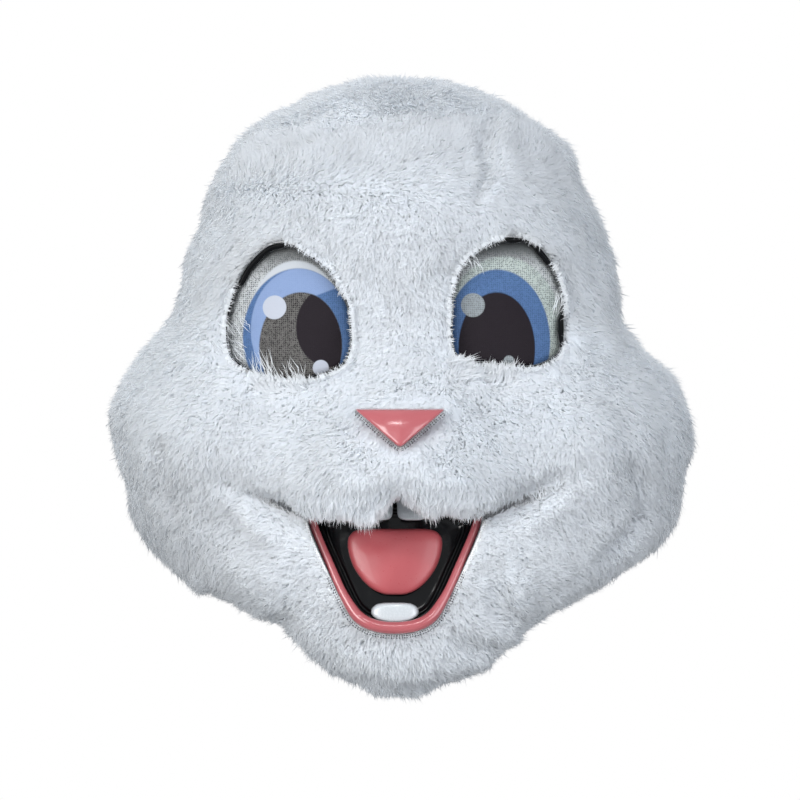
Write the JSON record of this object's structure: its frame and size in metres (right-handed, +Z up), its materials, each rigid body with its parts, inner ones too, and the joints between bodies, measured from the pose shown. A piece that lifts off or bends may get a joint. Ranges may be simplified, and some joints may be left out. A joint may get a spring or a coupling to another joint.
{
  "type": "plush bunny costume head",
  "caption": "Hollow white plush bunny costume head with printed mesh eyes, a glossy pink nose and a moulded open mouth, open at the neck.",
  "frame": {"origin": "inside of the crown on the head's axis, where the wearer's head bears", "axes": "+Z up through the crown, -Y out of the face, +X to the right of a front view"},
  "size_m": [0.403, 0.3763, 0.4263],
  "materials": {
    "plush": "short brushed pile, slightly bluish white",
    "neck_band": "woven tape",
    "black_gloss": "gloss",
    "eye_print": "printed open mesh",
    "pink_plastic": "gloss",
    "tongue_pink": "gloss",
    "tooth_white": "gloss"
  },
  "bodies": {
    "root": {"face_panel": "plush", "jaw_panel": "plush", "side_panel_left": "plush", "side_panel_right": "plush", "back_panel_left": "plush", "back_panel_right": "plush", "crown_panel": "plush", "neck_binding": "neck_band", "eye_frame_left": "black_gloss", "eye_frame_right": "black_gloss", "eye_mesh_left": "eye_print", "eye_mesh_right": "eye_print", "nose": "pink_plastic", "mouth_lip": "pink_plastic", "mouth_dish": "black_gloss", "tongue": "tongue_pink", "lower_tooth": "tooth_white", "upper_tooth_left": "tooth_white", "upper_tooth_right": "tooth_white"}
  },
  "joints": []
}
